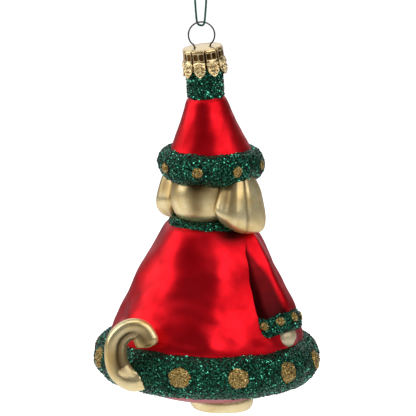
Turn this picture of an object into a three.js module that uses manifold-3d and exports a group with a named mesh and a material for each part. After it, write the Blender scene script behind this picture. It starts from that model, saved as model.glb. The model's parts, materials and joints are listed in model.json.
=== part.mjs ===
// A mouth-blown glass tree ornament: a dog in a bell-shaped red robe and a pointed hat, hung from a
// stamped crown cap, a sprung wire loop and a tied cord. Millimetres, +Z up, the dog faces -Y.
// The origin is the hang point, where a hook takes the top of the cord loop.
import * as THREE from "three";
import { mergeVertices } from "three/addons/utils/BufferGeometryUtils.js";
import Module from "manifold-3d";

const wasm = await Module();
wasm.setup();

// ---------------------------------------------------------------- driving dimensions

const GAP = 0.3; // kept between neighbouring solids
const WALL = 0.8; // blown glass
const ROUND = 32; // sides of the large turned shapes
const FINE = 16; // sides of the small ones

// How the piece hangs: the hat was pulled off-centre, so the body swings the other way to balance.
const LEAN_TOWARDS_DEG = 44; // from +X, the side that the hat leans to
const CROWN_LEAN_DEG = 5.1; // hat and neck against the body
const BRIM_LEVEL_DEG = 4.2; // brim against the hat, back towards level
const CAP_SKEW_DEG = 3; // cap against the neck, on which it sits loosely
const BODY_LEAN_DEG = 1.1; // body against the vertical

// Heights in the figure stand on the sole, at 0.
const HEM = { radius: 31, height: 19.8, wide: 8, tall: 7.8 };
const HEM_WALL = 1; // glass with its coat of glitter
const HEM_DOTS = 12; // one place is taken by the tail
const HEM_DOT_RADIUS = 3.7;
const ROBE_OUTLINE = [
  [12.4, 68],
  [15.1, 66.5],
  [17.5, 63.2],
  [20.7, 56.8],
  [24.3, 48.5],
  [28.1, 40.4],
  [31.7, 32.6],
  [33.3, 27.8],
];
const UNDERSIDE_DEPTH = 6.1; // the closed bottom bulges this far below the hem
const UNDERSIDE_CURVE = [
  [0, 1],
  [0.4, 1],
  [0.65, 0.7],
  [0.86, 0.3],
  [1, 0],
]; // share of the radius, share of the depth
const FEET_FORWARD = 6.6;
const HEEL = [9.5, 7.5, 5.5];
const FOOT = [6, 8.5, 5.5];
const FOOT_OUT = 5;
const FOOT_HEIGHT = 3;

const COLLAR = { radius: 11, height: 67, wide: 3.2, tall: 2.4 };
const BRIM_HEIGHT = 88;
const FACE = BRIM_HEIGHT - COLLAR.height; // the head, face and ears fill the height between these two
const HEAD_HEIGHT = COLLAR.height + 0.495 * FACE;
const HEAD = [11.5, 11.5, 0.62 * FACE];
const HEAD_BACK = 2.7;
const MUZZLE = [6.5, 9, 5.6];
const MUZZLE_FORWARD = 12;
const MUZZLE_HEIGHT = COLLAR.height + 0.38 * FACE;
const EAR = [6.6, 9.6, 0.52 * FACE];
const EAR_OUT = 13.9;
const EAR_BACK = -0.5;
const EAR_HEIGHT = COLLAR.height + 0.48 * FACE;
const EYE = [1.5, 1.2, 1.9];
const EYE_PLACE = [4.4, -7.6, COLLAR.height + 0.67 * FACE];
const NOSE = [2.3, 1.6, 1.7];
const NOSE_PLACE = [0, -20.4, COLLAR.height + 0.49 * FACE];

const SHOULDER = [15.6, -2.6, 63.4];
const CUFF_CENTRE = [28.4, -4.6, 35.6];
const SLEEVE_WIDE = 9.4; // half the width at the cuff
const SLEEVE_NARROW = 5; // half the width at the shoulder
const ARM_FLATNESS = 0.6; // depth of the arm as a share of its width
const CUFF_HEIGHT = 8;
const CUFF_PROUD = 0.9;
const CUFF_THICK = 2;
const PAW = [3.8, 5, 4.8];
const PAW_DROP = 5.2;
const PAW_FORWARD = 1.6;
const CUFF_DOTS = 4;
const CUFF_DOT_RADIUS = 1.55;
const CUFF_DOT_STEP_DEG = 40;

const TAIL_RADIUS = 4.6;
const TAIL_ROUTE = [
  [-3.4, 34.2, 18.4],
  [-1.6, 38.4, 18],
  [0.6, 42, 21.2],
  [1.5, 43.2, 26.4],
  [1.1, 42.7, 31.8],
  [-1.1, 39.9, 35],
  [-4.2, 37.4, 35],
  [-6.4, 36.2, 31.4],
];

// The crown: heights stand on the middle of the brim, on the axis of the hat.
const BRIM = { radius: 12.8, height: 0, wide: 5.5, tall: 5.5 };
const BRIM_DOTS = 8;
const BRIM_DOT_RADIUS = 1.8;
const BRIM_DOT_FIRST_DEG = 74.5;
const HAT_OUTLINE = [
  [14.1, 4.4],
  [11.9, 9.3],
  [10.2, 13.5],
  [8.5, 17.8],
  [7, 22],
];
const NECK_RADIUS = 5.7;
const NECK_MOUTH = 39.8;
const NECK_BAND_TOP = 34.5; // under the skirt of the cap
const NECK_BAND_THICK = 0.35;
const CAP_THICK = 0.35;
const CAP_TOP = 40.7;
const CAP_HEIGHT = 9.6;
const CAP_FLARE = 0.4;
const PETALS = 9;
const PETAL_CUT = 3.3; // height of the notches between the points
const PETAL_SLIT = 0.2; // half their width at the top

const WIRE_RADIUS = 0.28;
const LOOP_RADIUS = 4.5; // to the middle of the wire
const LOOP_RISE = LOOP_RADIUS - 0.3; // middle of the loop above the cap
const HOLE_OUT = 2.65; // each hole of the cap from its middle
const LOOP_OPEN = 2.9; // half the width at which the wire leaves its circle
const LEG_REACH = 13.5; // how far the sprung legs go down the neck
const LEG_SPREAD = 3.6; // half the distance between their tips
const WIRE_HOLE = 0.75;

const CORD_RADIUS = 0.38;
const CORD_SLACK = 0.5; // from the wire down to the cord under it
const CORD_TURN_DEG = 50; // the cord loop against the axis of the wire loop
const HOOK_HEIGHT = 17.4; // of the hang point above the lowest point of the cord
// Half of the cord loop: distance from its middle line, and height above its lowest point.
const CORD_ROUTE = [
  [0, 0],
  [0.85, 0.12],
  [1.5, 0.7],
  [1.8, 1.8],
  [2, 3.4],
  [2.25, 5.8],
  [2.5, 9],
  [2.5, 12],
  [2.2, 14.6],
  [1.45, 16.7],
  [0.52, 18],
];
const KNOT = [1.5, 1.3, 1.6];

const DOT_THICK = 0.8;

// ---------------------------------------------------------------- solids from three.js geometry

const radians = THREE.MathUtils.degToRad;
const NOWHERE = new THREE.Matrix4(); // leaves a solid where it is

// A closed three.js geometry as a solid whose faces point out.
function solid(geometry) {
  const loose = geometry.index ? geometry.toNonIndexed() : geometry;
  const bare = new THREE.BufferGeometry().setAttribute("position", loose.getAttribute("position"));
  const merged = mergeVertices(bare, 1e-4);
  const vertProperties = new Float32Array(merged.attributes.position.array);
  const at = (i) => new THREE.Vector3().fromArray(vertProperties, 3 * i);
  const triangles = [];
  let volume = 0;
  for (let i = 0; i < merged.index.count; i += 3) {
    const [a, b, c] = merged.index.array.slice(i, i + 3);
    if (a === b || b === c || c === a) continue;
    triangles.push([a, b, c]);
    volume += at(a).dot(at(b).cross(at(c)));
  }
  const outward = triangles.flatMap(([a, b, c]) => (volume < 0 ? [a, c, b] : [a, b, c]));
  return new wasm.Manifold(new wasm.Mesh({ numProp: 3, vertProperties, triVerts: new Uint32Array(outward) }));
}

function geometryOf(made) {
  const { vertProperties, triVerts } = made.getMesh();
  const geometry = new THREE.BufferGeometry();
  geometry.setAttribute("position", new THREE.BufferAttribute(new Float32Array(vertProperties), 3));
  geometry.setIndex(new THREE.BufferAttribute(new Uint32Array(triVerts), 1));
  return geometry;
}

// A turned solid from a closed outline of [radius, height] points, round +Z.
function turned(outline, sides = ROUND, place = NOWHERE) {
  const points = outline.map(([r, z]) => new THREE.Vector2(r, z));
  if (outline[0][0] > 0) points.push(points[0].clone());
  return solid(new THREE.LatheGeometry(points, sides).rotateX(Math.PI / 2).applyMatrix4(place));
}

function ellipsoid(radii, centre, sides = FINE) {
  const ball = new THREE.SphereGeometry(1, sides, Math.round(sides * 0.6)).rotateX(Math.PI / 2);
  return solid(ball.scale(...radii).translate(...centre));
}

function cylinder(radius, low, high, sides = FINE, place = NOWHERE) {
  const bar = new THREE.CylinderGeometry(radius, radius, high - low, sides).rotateX(Math.PI / 2);
  return solid(bar.translate(0, 0, (high + low) / 2).applyMatrix4(place));
}

function tube(points, radius, sides, steps) {
  const section = Array.from({ length: sides }, (_, i) => {
    const angle = (2 * Math.PI * i) / sides;
    return new THREE.Vector2(radius * Math.cos(angle), radius * Math.sin(angle));
  });
  const settings = { extrudePath: new THREE.CatmullRomCurve3(points), steps, bevelEnabled: false };
  return solid(new THREE.ExtrudeGeometry(new THREE.Shape(section), settings));
}

// Half an oval, from straight below its middle, round the outside, to straight above it.
function halfOval({ radius, height, wide, tall }, offset = 0, steps = 6) {
  return Array.from({ length: steps + 1 }, (_, i) => {
    const angle = Math.PI * (i / steps - 0.5);
    return [radius + (wide + offset) * Math.cos(angle), height + (tall + offset) * Math.sin(angle)];
  });
}

// A blown bulge that runs all round: a wall along half an oval, open to the inside.
function bulge(size, wall, sides = ROUND) {
  return turned([...halfOval(size), ...halfOval(size, -wall).reverse()], sides);
}

// The same bulge grown by an offset and filled to the axis, and on down to low and up to high.
function filledBulge(size, offset, place = NOWHERE, low = size.height, high = size.height) {
  const bottom = Math.min(low, size.height - size.tall - offset);
  const top = Math.max(high, size.height + size.tall + offset);
  const [under, over] = [[size.radius, bottom], [size.radius, top]];
  return turned([[0, bottom], under, ...halfOval(size, offset), over, [0, top]], ROUND, place);
}

// A patch of glitter that follows the outside of a solid, which grown(offset) gives.
function patchOn(grown, radius, from, direction, length) {
  const turn = new THREE.Quaternion().setFromUnitVectors(new THREE.Vector3(0, 0, 1), direction);
  const place = new THREE.Matrix4().compose(from, turn, new THREE.Vector3(1, 1, 1));
  return cylinder(radius, 0, length, 10, place).intersect(grown(GAP + DOT_THICK)).subtract(grown(GAP));
}

// ---------------------------------------------------------------- materials and scene

function paint(color, roughness, metalness) {
  return new THREE.MeshStandardMaterial({ color, roughness, metalness });
}

const RED = paint(0xc8141e, 0.3, 0.6);
const PEARL = paint(0xc9b57f, 0.3, 0.6);
const CREAM = paint(0xe9dfc4, 0.4, 0.2);
const GREEN_GLITTER = paint(0x06402c, 0.6, 0.4);
const GOLD_GLITTER = paint(0xa57f35, 0.5, 0.8);
const STAMPED_GOLD = paint(0xc79a55, 0.3, 1);
const WIRE = paint(0x3a3a3a, 0.4, 1);
const CORD = paint(0x0b4636, 0.6, 0);
const BLACK = paint(0x141210, 0.3, 0);

const ornament = new THREE.Group();
const figure = new THREE.Group();
const crown = new THREE.Group();
const brimSeat = new THREE.Group();
const capSeat = new THREE.Group();
ornament.add(figure);
figure.add(crown);
crown.add(brimSeat);
crown.add(capSeat);

function add(group, name, made, material) {
  const mesh = new THREE.Mesh(geometryOf(made), material);
  mesh.name = name;
  group.add(mesh);
}

// The hat tips about a level line, which is also the axis of the wire loop.
const leanTowards = radians(LEAN_TOWARDS_DEG);
const leanAxis = new THREE.Vector3(-Math.sin(leanTowards), Math.cos(leanTowards), 0);
const across = new THREE.Vector3(-Math.cos(leanTowards), -Math.sin(leanTowards), 0);
crown.position.set(0, 0, BRIM_HEIGHT);
crown.quaternion.setFromAxisAngle(leanAxis, radians(CROWN_LEAN_DEG));
crown.updateMatrix();
brimSeat.quaternion.setFromAxisAngle(leanAxis, radians(-BRIM_LEVEL_DEG));
brimSeat.updateMatrix();
const brimPlace = crown.matrix.clone().multiply(brimSeat.matrix);
figure.quaternion.setFromAxisAngle(leanAxis, radians(-BODY_LEAN_DEG));
capSeat.position.set(0, 0, CAP_TOP);
capSeat.quaternion.setFromAxisAngle(leanAxis, radians(CAP_SKEW_DEG));

// The top of the wire loop sits straight below the hang point, a little above the bottom of the cord.
const cordLow = -HOOK_HEIGHT;
const loopTop = new THREE.Vector3(0, 0, CAP_TOP + LOOP_RISE + LOOP_RADIUS);
const loopTopTurned = loopTop.applyMatrix4(crown.matrix).applyQuaternion(figure.quaternion);
figure.position.set(0, 0, cordLow + CORD_RADIUS + CORD_SLACK + WIRE_RADIUS).sub(loopTopTurned);

// ---------------------------------------------------------------- robe, hem, tail and feet

const robeOutside = new THREE.SplineCurve(ROBE_OUTLINE.map(([r, z]) => new THREE.Vector2(r, z)))
  .getPoints(6)
  .map((p) => [p.x, p.y]);

// The robe grown by an offset and filled to the axis.
function robeGrown(offset, place = NOWHERE) {
  const side = robeOutside.map(([r, z]) => [r + offset, z]);
  const [top, bottom] = [side[0], side.at(-1)];
  return turned([[0, top[1] + offset], [top[0], top[1] + offset], ...side, [0, bottom[1]]], ROUND, place);
}

const hemGrown = (offset, place) => filledBulge(HEM, offset, place);
const collarUnder = filledBulge(COLLAR, GAP, NOWHERE, 0);

const robeInside = robeOutside.map(([r, z]) => [r - WALL, z]).reverse();
const robe = turned([...robeOutside, ...robeInside]).subtract(hemGrown(GAP)).subtract(collarUnder);
add(figure, "robe", robe, RED);
add(figure, "hem_band", bulge(HEM, HEM_WALL), GREEN_GLITTER);
add(figure, "collar", bulge(COLLAR, WALL, 3 * PETALS), GREEN_GLITTER);

const rimRadius = HEM.radius - GAP;
const rimHeight = HEM.height - HEM.tall;

// The outline of the closed bottom, lowered by a drop.
function undersideAt(drop) {
  return UNDERSIDE_CURVE.map(([r, z]) => [r * rimRadius, rimHeight - z * UNDERSIDE_DEPTH - drop]);
}

add(figure, "underside", turned([...undersideAt(0), ...undersideAt(-WALL).reverse()]), RED);

const overUnderside = turned([...undersideAt(GAP), [rimRadius, HEM.height], [0, HEM.height]]);
let feet = ellipsoid(HEEL, [0, 2.5 - FEET_FORWARD, FOOT_HEIGHT]);
for (const side of [-1, 1]) {
  feet = feet.add(ellipsoid(FOOT, [side * FOOT_OUT, -1.5 - FEET_FORWARD, FOOT_HEIGHT]));
}
add(figure, "feet", feet.subtract(overUnderside).subtract(cylinder(HEM.radius, -HEM.height, 0)), PEARL);

// Glitter dots stand round the hem, and the tail takes the place of the first one.
for (let i = 1; i < HEM_DOTS; i++) {
  const angle = Math.PI / 2 + (2 * Math.PI * i) / HEM_DOTS;
  const direction = new THREE.Vector3(Math.cos(angle), Math.sin(angle), 0);
  const from = direction.clone().multiplyScalar(HEM.radius).setZ(HEM.height);
  add(figure, "hem_dot_" + i, patchOn(hemGrown, HEM_DOT_RADIUS, from, direction, 2 * HEM.wide), GOLD_GLITTER);
}

// The tail is blown hollow, and opens into the hem at its root.
function tailFilled(radius) {
  const route = TAIL_ROUTE.map((p) => new THREE.Vector3(...p));
  return tube(route, radius, 10, 14).add(ellipsoid([radius, radius, radius], TAIL_ROUTE.at(-1), 10));
}

const tail = tailFilled(TAIL_RADIUS)
  .subtract(tailFilled(TAIL_RADIUS - WALL))
  .subtract(robeGrown(GAP))
  .subtract(hemGrown(GAP));
add(figure, "tail", tail, PEARL);

// ---------------------------------------------------------------- head and ears

function headGrown(offset) {
  const grow = (radii) => radii.map((r) => r + offset);
  const skull = ellipsoid(grow(HEAD), [0, HEAD_BACK, HEAD_HEIGHT]);
  return skull.add(ellipsoid(grow(MUZZLE), [0, -MUZZLE_FORWARD, MUZZLE_HEIGHT]));
}

const brimGrown = (offset, place) => filledBulge(BRIM, offset, place);
const crownOver = filledBulge(BRIM, GAP, brimPlace, BRIM.height, CAP_TOP);
const dottedCrownOver = filledBulge(BRIM, 2 * GAP + DOT_THICK, brimPlace, BRIM.height, CAP_TOP);
const head = headGrown(0).subtract(headGrown(-WALL)).subtract(crownOver).subtract(collarUnder);
add(figure, "head", head, PEARL);
add(figure, "nose", ellipsoid(NOSE, NOSE_PLACE, 10).subtract(headGrown(GAP)), BLACK);

for (const [side, name] of [[-1, "right"], [1, "left"]]) {
  const [x, y, z] = EYE_PLACE;
  add(figure, "eye_" + name, ellipsoid(EYE, [side * x, y, z], 10).subtract(headGrown(GAP)), BLACK);
  const place = [side * EAR_OUT, EAR_BACK, EAR_HEIGHT];
  const ear = ellipsoid(EAR, place)
    .subtract(ellipsoid(EAR.map((r) => r - WALL), place))
    .subtract(headGrown(GAP))
    .subtract(dottedCrownOver)
    .subtract(collarUnder)
    .subtract(robeGrown(GAP));
  add(figure, "ear_" + name, ear, PEARL);
}

// ---------------------------------------------------------------- arms

// An arm is built round +Z of its own frame, cuff at 0, then set between its cuff and its shoulder.
const [shoulder, wrist] = [new THREE.Vector3(...SHOULDER), new THREE.Vector3(...CUFF_CENTRE)];
const armLength = shoulder.distanceTo(wrist);
const sleeveLow = CUFF_HEIGHT / 2 + GAP;

function sleeveFilled(inset, low) {
  const outline = [
    [0, low],
    [SLEEVE_WIDE - inset, low],
    [SLEEVE_NARROW - inset, armLength - SLEEVE_NARROW / 2],
    [SLEEVE_NARROW * 0.7 - inset, armLength + SLEEVE_NARROW * 0.1],
    [0, armLength + SLEEVE_NARROW * 0.35 - inset],
  ];
  return turned(outline, FINE, new THREE.Matrix4().makeScale(ARM_FLATNESS, 1, 1));
}

const cuffWide = SLEEVE_WIDE + CUFF_PROUD;
function cuffFilled(offset) {
  const scale = new THREE.Matrix4().makeScale(cuffWide * ARM_FLATNESS + offset, cuffWide + offset, 1);
  const high = CUFF_HEIGHT / 2 + offset;
  const outline = [[0, -high], [0.9, -high], [1, -high / 2], [1, high / 2], [0.9, high], [0, high]];
  return turned(outline, FINE, scale);
}

for (const [side, name] of [[-1, "right"], [1, "left"]]) {
  const mirrored = new THREE.Vector3(side, 1, 1);
  const [low, high] = [wrist.clone().multiply(mirrored), shoulder.clone().multiply(mirrored)];
  const up = high.clone().sub(low).normalize();
  const along = up.clone().cross(new THREE.Vector3(side, 0, 0)).normalize();
  const place = new THREE.Matrix4().makeBasis(along.clone().cross(up), along, up).setPosition(low);
  const back = place.clone().invert();
  const arm = new THREE.Group();
  arm.applyMatrix4(place);
  figure.add(arm);

  const body = robeGrown(GAP, back);
  const sleeve = sleeveFilled(0, sleeveLow).subtract(sleeveFilled(WALL, 0)).subtract(body);
  add(arm, "sleeve_" + name, sleeve, RED);
  const cuff = cuffFilled(0).subtract(
    turned(
      [[0, -CUFF_HEIGHT], [1, -CUFF_HEIGHT], [1, CUFF_HEIGHT], [0, CUFF_HEIGHT]],
      FINE,
      new THREE.Matrix4().makeScale((cuffWide - CUFF_THICK) * ARM_FLATNESS, cuffWide - CUFF_THICK, 1),
    ),
  );
  add(arm, "cuff_" + name, cuff.subtract(body), GREEN_GLITTER);
  const paw = ellipsoid(PAW, [0, -side * PAW_FORWARD, -PAW_DROP])
    .subtract(body)
    .subtract(hemGrown(GAP, back));
  add(arm, "paw_" + name, paw, CREAM);

  for (let i = 0; i < CUFF_DOTS; i++) {
    const angle = radians((i - (CUFF_DOTS - 1) / 2) * CUFF_DOT_STEP_DEG);
    const direction = new THREE.Vector3(Math.cos(angle), ARM_FLATNESS * Math.sin(angle), 0).normalize();
    const surface = new THREE.Vector3(ARM_FLATNESS * Math.cos(angle), Math.sin(angle), 0);
    const from = surface.multiplyScalar(cuffWide).addScaledVector(direction, -CUFF_THICK);
    const dot = patchOn(cuffFilled, CUFF_DOT_RADIUS, from, direction, 2 * CUFF_THICK).subtract(body);
    add(arm, "cuff_dot_" + name + "_" + (i + 1), dot, GOLD_GLITTER);
  }
}

// ---------------------------------------------------------------- crown: hat, brim and cap

const neckLow = HAT_OUTLINE.at(-1)[1] + 0.8;
const hatOutside = [...HAT_OUTLINE, [NECK_RADIUS, neckLow], [NECK_RADIUS, NECK_MOUTH]];
const hatInside = hatOutside.map(([r, z]) => [r - WALL, z]).reverse();
const brimUnderHat = filledBulge(BRIM, GAP, brimSeat.matrix);
add(crown, "hat", turned([...hatOutside, ...hatInside], 3 * PETALS).subtract(brimUnderHat), RED);

const bandInner = NECK_RADIUS + GAP;
const bandOuter = bandInner + NECK_BAND_THICK;
const bandLow = neckLow + GAP;
const neckBand = [
  [bandInner, bandLow],
  [bandOuter, bandLow],
  [bandOuter, NECK_BAND_TOP],
  [bandInner, NECK_BAND_TOP],
];
add(crown, "neck_band", turned(neckBand, 4 * PETALS), GREEN_GLITTER);
add(brimSeat, "brim_band", bulge(BRIM, WALL, 3 * PETALS), GREEN_GLITTER);

for (let i = 0; i < BRIM_DOTS; i++) {
  const angle = radians(BRIM_DOT_FIRST_DEG) + (2 * Math.PI * i) / BRIM_DOTS;
  const direction = new THREE.Vector3(Math.cos(angle), Math.sin(angle), 0);
  const from = direction.clone().multiplyScalar(BRIM.radius);
  const dot = patchOn(brimGrown, BRIM_DOT_RADIUS, from, direction, 2 * BRIM.wide);
  add(brimSeat, "brim_dot_" + (i + 1), dot, GOLD_GLITTER);
}

// The cap is a stamped cup whose skirt is cut into pointed petals, drawn with its top at 0.
const capInner = bandOuter + GAP;
const capOutline = [
  [0, 0],
  [capInner + CAP_THICK, 0],
  [capInner + CAP_THICK + CAP_FLARE, -CAP_HEIGHT],
  [capInner + CAP_FLARE, -CAP_HEIGHT],
  [capInner, -CAP_THICK],
  [0, -CAP_THICK],
];
const petalHalf = ((capInner + CAP_THICK + CAP_FLARE) * Math.PI) / PETALS;
const notchOutline = [[-petalHalf, 0], [-PETAL_SLIT, PETAL_CUT], [PETAL_SLIT, PETAL_CUT], [petalHalf, 0]];
const notch = [[-petalHalf, -1], ...notchOutline, [petalHalf, -1]].map(([x, y]) => new THREE.Vector2(x, y));
// The notch is drawn with its width along +Y and its height along +Z, and cuts outwards along +X.
const outwards = new THREE.Matrix4().makeBasis(
  new THREE.Vector3(0, 1, 0),
  new THREE.Vector3(0, 0, 1),
  new THREE.Vector3(1, 0, 0),
);
outwards.setPosition(capInner / 2, 0, -CAP_HEIGHT);
let cap = turned(capOutline, 4 * PETALS);
for (let i = 0; i < PETALS; i++) {
  const turn = new THREE.Matrix4().makeRotationZ((2 * Math.PI * i) / PETALS);
  const wedge = new THREE.ExtrudeGeometry(new THREE.Shape(notch), { depth: capInner, bevelEnabled: false });
  cap = cap.subtract(solid(wedge.applyMatrix4(outwards).applyMatrix4(turn)));
}
for (const side of [-1, 1]) {
  const place = new THREE.Matrix4().setPosition(across.clone().multiplyScalar(side * HOLE_OUT));
  cap = cap.subtract(cylinder(WIRE_HOLE, -2 * CAP_THICK, CAP_THICK, 12, place));
}
add(capSeat, "cap", cap, STAMPED_GOLD);

// ---------------------------------------------------------------- wire loop, cord and knot

const inLoop = (s, z) => across.clone().multiplyScalar(s).setZ(z);
const LOOP_STEPS = 18;
const loopOpening = Math.asin(LOOP_OPEN / LOOP_RADIUS); // half the angle left open at the foot of the circle
const roundLoop = Array.from({ length: LOOP_STEPS + 1 }, (_, i) => {
  const angle = -Math.PI / 2 - loopOpening - ((2 * Math.PI - 2 * loopOpening) * i) / LOOP_STEPS;
  return inLoop(LOOP_RADIUS * Math.cos(angle), CAP_TOP + LOOP_RISE + LOOP_RADIUS * Math.sin(angle));
});
const leg = (side) => [
  inLoop(side * LEG_SPREAD, CAP_TOP - LEG_REACH),
  inLoop(side * LEG_SPREAD, CAP_TOP - 0.6 * LEG_REACH),
  inLoop(side * HOLE_OUT, CAP_TOP - 0.1 * LEG_REACH),
];
add(crown, "wire_loop", tube([...leg(-1), ...roundLoop, ...leg(1).reverse()], WIRE_RADIUS, 6, 56), WIRE);

const cordTurn = radians(CORD_TURN_DEG);
const cordAcross = leanAxis.clone().applyAxisAngle(new THREE.Vector3(0, 0, 1), cordTurn);

function halfCord(side) {
  return CORD_ROUTE.map(([s, h]) => cordAcross.clone().multiplyScalar(side * s).setZ(cordLow + h));
}

const cordPoints = [...halfCord(-1).reverse(), ...halfCord(1).slice(1)];
add(ornament, "cord_loop", tube(cordPoints, CORD_RADIUS, 8, 36), CORD);
const knotHeight = cordLow + CORD_ROUTE.at(-1)[1] + GAP + KNOT[2];
add(ornament, "cord_knot", ellipsoid(KNOT, [0, 0, knotHeight], 10), CORD);

export default ornament;
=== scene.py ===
# %% [markdown]
# # A blown-glass ornament, piece by piece
# The real object is a mouth-blown glass figure: a dog in a bell-shaped red robe and a pointed hat.
# It is silvered inside, lacquered outside, trimmed with glued glitter, and hangs from a stamped cap.
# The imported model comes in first. It fixes where every part is, and each step below builds the
# finished skin of one part around it.

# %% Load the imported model
import json
import math

import bpy
import numpy as np
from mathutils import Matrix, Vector


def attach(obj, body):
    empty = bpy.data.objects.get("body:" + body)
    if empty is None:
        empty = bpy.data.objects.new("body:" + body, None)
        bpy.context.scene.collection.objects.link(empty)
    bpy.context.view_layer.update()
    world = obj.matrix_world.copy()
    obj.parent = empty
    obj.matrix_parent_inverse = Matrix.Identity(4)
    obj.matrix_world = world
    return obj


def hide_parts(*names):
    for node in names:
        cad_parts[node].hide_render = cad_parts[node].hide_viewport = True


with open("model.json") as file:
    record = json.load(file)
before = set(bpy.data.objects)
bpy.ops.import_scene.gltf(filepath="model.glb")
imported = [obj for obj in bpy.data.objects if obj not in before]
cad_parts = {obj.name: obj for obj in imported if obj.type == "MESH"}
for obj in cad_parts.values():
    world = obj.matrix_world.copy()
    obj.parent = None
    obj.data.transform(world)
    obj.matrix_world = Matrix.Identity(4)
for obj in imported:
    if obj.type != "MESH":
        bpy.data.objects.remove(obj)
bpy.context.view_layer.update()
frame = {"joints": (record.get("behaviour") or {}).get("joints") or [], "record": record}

# %% [markdown]
# ## Frames to build in
# The body leans a little one way and the hat leans back the other way, so nothing stands square to
# the world. Each part is easiest to describe upright, in millimetres, and is then turned and moved
# into place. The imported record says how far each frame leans: the sole's direction gives the body,
# and the direction in which the cap pulls off gives the hat.

# %% The frames of the body, the hat and the cap
MM = 0.001
mounts = {mount["name"]: mount for mount in frame["record"]["mounts"]}
joints = {joint["name"]: joint for joint in frame["joints"]}
LEAN_AXIS = np.array(joints["loop_swing"]["axis"])
SOLE_FORWARD = 6.6  # how far the middle of the sole lies in front of the axis
BRIM_HEIGHT = 88
CAP_TOP = 40.7  # above the brim
CAP_SKEW = math.radians(3)
BRIM_LEVEL = math.radians(-4.2)


def upright(up):
    """The turn that takes +Z to up by the shortest way. With K the cross-product matrix of their
    common normal, it is the identity, plus K, plus K squared over one plus the cosine."""
    x, y, z = np.cross([0, 0, 1], up)
    cross = np.array([[0, -z, y], [z, 0, -x], [-y, x, 0]])
    return np.eye(3) + cross + cross @ cross / (1 + up[2])


def inside(outer, turn, origin):
    """A frame given in another frame, as a turn and an origin in the world, in millimetres."""
    return outer[0] @ turn, outer[0] @ np.array(origin, float) + outer[1]


def put(points, place):
    """Points of a frame as points of the world."""
    return points @ place[0].T + place[1]


body_turn = upright(-np.array(mounts["sole"]["axis"]))
sole = np.array(mounts["sole"]["pos_m"]) / MM
WORLD = (np.eye(3), np.zeros(3))
BODY = (body_turn, sole - body_turn @ [0, -SOLE_FORWARD, 0])
hat_turn = upright(-np.array(joints["cap_pull"]["axis"]))
HAT = (hat_turn, put(np.array([0, 0, BRIM_HEIGHT]), BODY))


def tipped(angle, origin):
    """A frame tipped from the hat's by an angle about the level axis that the hat leans about: its up
    is the hat's up times the cosine, plus the axis crossed with it times the sine."""
    up = hat_turn[:, 2] * math.cos(angle) + np.cross(LEAN_AXIS, hat_turn[:, 2]) * math.sin(angle)
    return upright(up), put(np.array(origin), HAT)


BRIM_SEAT = tipped(BRIM_LEVEL, [0, 0, 0])
CAP = tipped(CAP_SKEW, [0, 0, CAP_TOP])
print("body, hat and cap start at, in millimetres:", *(np.round(place[1], 1) for place in (BODY, HAT, CAP)))

# %% [markdown]
# ## The camera
# The object is seen from behind and a little above. A long lens from two metres away keeps the
# hem's oval nearly the same as in a drawing.

# %% Set up the camera
VIEW_AZIMUTH = math.radians(224)
VIEW_ELEVATION = math.radians(12.5)
VIEW_DISTANCE = 2.2
VIEW_WIDTH = 0.1434  # what the frame takes in at the object
AIM = np.array([-1.82, -1.76, -81.5]) * MM
towards = np.array([
    math.sin(VIEW_AZIMUTH) * math.cos(VIEW_ELEVATION),
    -math.cos(VIEW_AZIMUTH) * math.cos(VIEW_ELEVATION),
    math.sin(VIEW_ELEVATION),
])
camera = bpy.data.objects.new("camera", bpy.data.cameras.new("camera"))
bpy.context.scene.collection.objects.link(camera)
camera.data.lens = camera.data.sensor_width * VIEW_DISTANCE / VIEW_WIDTH
camera.data.clip_end = 50
camera.location = AIM + towards * VIEW_DISTANCE
camera.rotation_mode = "QUATERNION"
camera.rotation_quaternion = Vector(-towards).to_track_quat("-Z", "Y")
bpy.context.scene.camera = camera
print("lens in millimetres:", round(camera.data.lens))

# %% [markdown]
# ## Helpers for surfaces
# Every piece is a grid of points: loops that run round it, one row after another. A helper turns
# the grid into a mesh, closes its ends, and makes its faces point outwards. Others give a smooth
# line through a few points, ridges and slopes, and a gentle noise for the glassblower's hand.

# %% Mesh, line and noise helpers
def loops_to_faces(count, around, ring):
    """Quads between neighbouring loops; with ring, the last loop joins the first."""
    index = np.arange(count * around).reshape(count, around)
    lower, upper = (index, np.roll(index, -1, 0)) if ring else (index[:-1], index[1:])
    return np.stack([lower, np.roll(lower, -1, 1), np.roll(upper, -1, 1), upper], -1).reshape(-1, 4)


def facing_out(points, faces):
    """The same triangles, turned round if the volume they enclose comes out negative: the volume is
    a sixth of the sum of a . (b x c) over the triangles."""
    a, b, c = (points[faces[:, i]] for i in range(3))
    return faces if (a * np.cross(b, c)).sum() > 0 else faces[:, ::-1]


def skin(rows, low=None, high=None, ring=False):
    """Points and triangles of a closed surface over a grid of loops. low and high are the points
    that close the first and the last loop, and ring joins the last loop to the first."""
    count, around = rows.shape[:2]
    points = rows.reshape(-1, 3)
    quads = loops_to_faces(count, around, ring)
    faces = [quads[:, [0, 1, 2]], quads[:, [0, 2, 3]]]
    for end, start, backwards in ((low, 0, True), (high, (count - 1) * around, False)):
        if end is not None:
            loop = start + np.arange(around)
            fan = np.stack([loop, np.roll(loop, -1), np.full(around, len(points))], -1)
            faces.append(fan[:, ::-1] if backwards else fan)
            points = np.vstack([points, end])
    faces = np.vstack(faces)
    return points, facing_out(points - points.mean(0), faces)


def joined(parts):
    """Several lots of points and triangles as one."""
    starts = np.cumsum([0] + [len(points) for points, _ in parts[:-1]])
    return np.vstack([p for p, _ in parts]), np.vstack([f + s for (_, f), s in zip(parts, starts)])


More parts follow.
